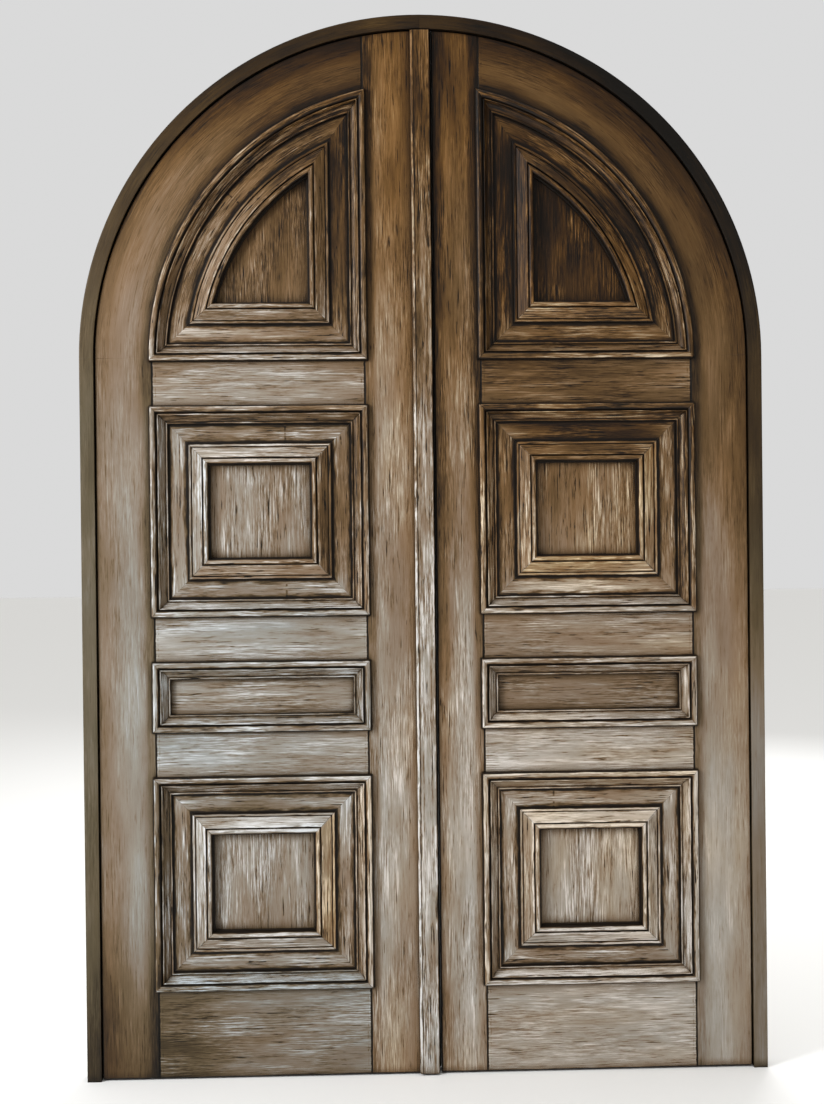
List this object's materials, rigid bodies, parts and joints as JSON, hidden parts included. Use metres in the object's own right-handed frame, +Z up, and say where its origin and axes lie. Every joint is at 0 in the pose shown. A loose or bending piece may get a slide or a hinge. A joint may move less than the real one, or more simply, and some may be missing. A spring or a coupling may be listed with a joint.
{
  "type": "arched double door",
  "caption": "Paired wooden doors with a semicircular head in a slim frame, panelled with bolection mouldings, a centre cover strip, butt hinges and edge bolts.",
  "frame": {"origin": "bottom centre of the frame, at half its depth", "axes": "+X to the right seen from the front, +Y to the back, where the leaves swing, +Z up"},
  "size_m": [1.568, 0.0715, 2.436],
  "materials": {
    "stile_wood": "driftwood brown with dark glaze and light dry-brushed streaks, satin",
    "panel_wood": "darker driftwood brown with glaze, satin",
    "moulding_wood": "driftwood brown with worn light edges and dark glaze in the quirks, satin",
    "frame_wood": "dark olive brown, satin",
    "dark_iron": "dark oiled iron"
  },
  "bodies": {
    "frame": {"left_jamb": "frame_wood", "right_jamb": "frame_wood", "left_head": "frame_wood", "right_head": "frame_wood", "left_frame_flaps": "dark_iron", "right_frame_flaps": "dark_iron", "left_hinge_pins": "dark_iron", "right_hinge_pins": "dark_iron", "left_frame_screws": "dark_iron", "right_frame_screws": "dark_iron"},
    "left_leaf": {"left_hinge_stile": "stile_wood", "left_meeting_stile": "stile_wood", "left_arch_rail": "stile_wood", "left_upper_rail": "stile_wood", "left_middle_rail": "stile_wood", "left_lower_rail": "stile_wood", "left_bottom_rail": "stile_wood", "left_arch_panel": "panel_wood", "left_upper_panel": "panel_wood", "left_narrow_panel": "panel_wood", "left_lower_panel": "panel_wood", "left_arch_bolection": "moulding_wood", "left_upper_bolection": "moulding_wood", "left_narrow_bolection": "moulding_wood", "left_lower_bolection": "moulding_wood", "left_arch_band": "panel_wood", "left_upper_band": "panel_wood", "left_lower_band": "panel_wood", "left_arch_inner_moulding": "moulding_wood", "left_upper_inner_moulding": "moulding_wood", "left_lower_inner_moulding": "moulding_wood", "left_leaf_flaps": "dark_iron", "left_leaf_screws": "dark_iron", "cover_strip": "moulding_wood", "bolt_plates": "dark_iron"},
    "right_leaf": {"right_hinge_stile": "stile_wood", "right_meeting_stile": "stile_wood", "right_arch_rail": "stile_wood", "right_upper_rail": "stile_wood", "right_middle_rail": "stile_wood", "right_lower_rail": "stile_wood", "right_bottom_rail": "stile_wood", "right_arch_panel": "panel_wood", "right_upper_panel": "panel_wood", "right_narrow_panel": "panel_wood", "right_lower_panel": "panel_wood", "right_arch_bolection": "moulding_wood", "right_upper_bolection": "moulding_wood", "right_narrow_bolection": "moulding_wood", "right_lower_bolection": "moulding_wood", "right_arch_band": "panel_wood", "right_upper_band": "panel_wood", "right_lower_band": "panel_wood", "right_arch_inner_moulding": "moulding_wood", "right_upper_inner_moulding": "moulding_wood", "right_lower_inner_moulding": "moulding_wood", "right_leaf_flaps": "dark_iron", "right_leaf_screws": "dark_iron"},
    "upper_bolt": {"upper_bolt": "dark_iron"},
    "lower_bolt": {"lower_bolt": "dark_iron"}
  },
  "joints": [
    {"name": "left_leaf_hinge", "type": "hinge", "parent": "frame", "child": "left_leaf", "pos_m": [-0.7635, 0.0325, 0.84], "axis": [0, 0, 1], "range_deg": [0, 110]},
    {"name": "right_leaf_hinge", "type": "hinge", "parent": "frame", "child": "right_leaf", "pos_m": [0.7635, 0.0325, 0.84], "axis": [0, 0, -1], "range_deg": [0, 110]},
    {"name": "upper_bolt_slide", "type": "slide", "parent": "left_leaf", "child": "upper_bolt", "axis": [0, 0, 1], "range_m": [0, 0.018]},
    {"name": "lower_bolt_slide", "type": "slide", "parent": "left_leaf", "child": "lower_bolt", "axis": [0, 0, -1], "range_m": [0, 0.018]}
  ]
}
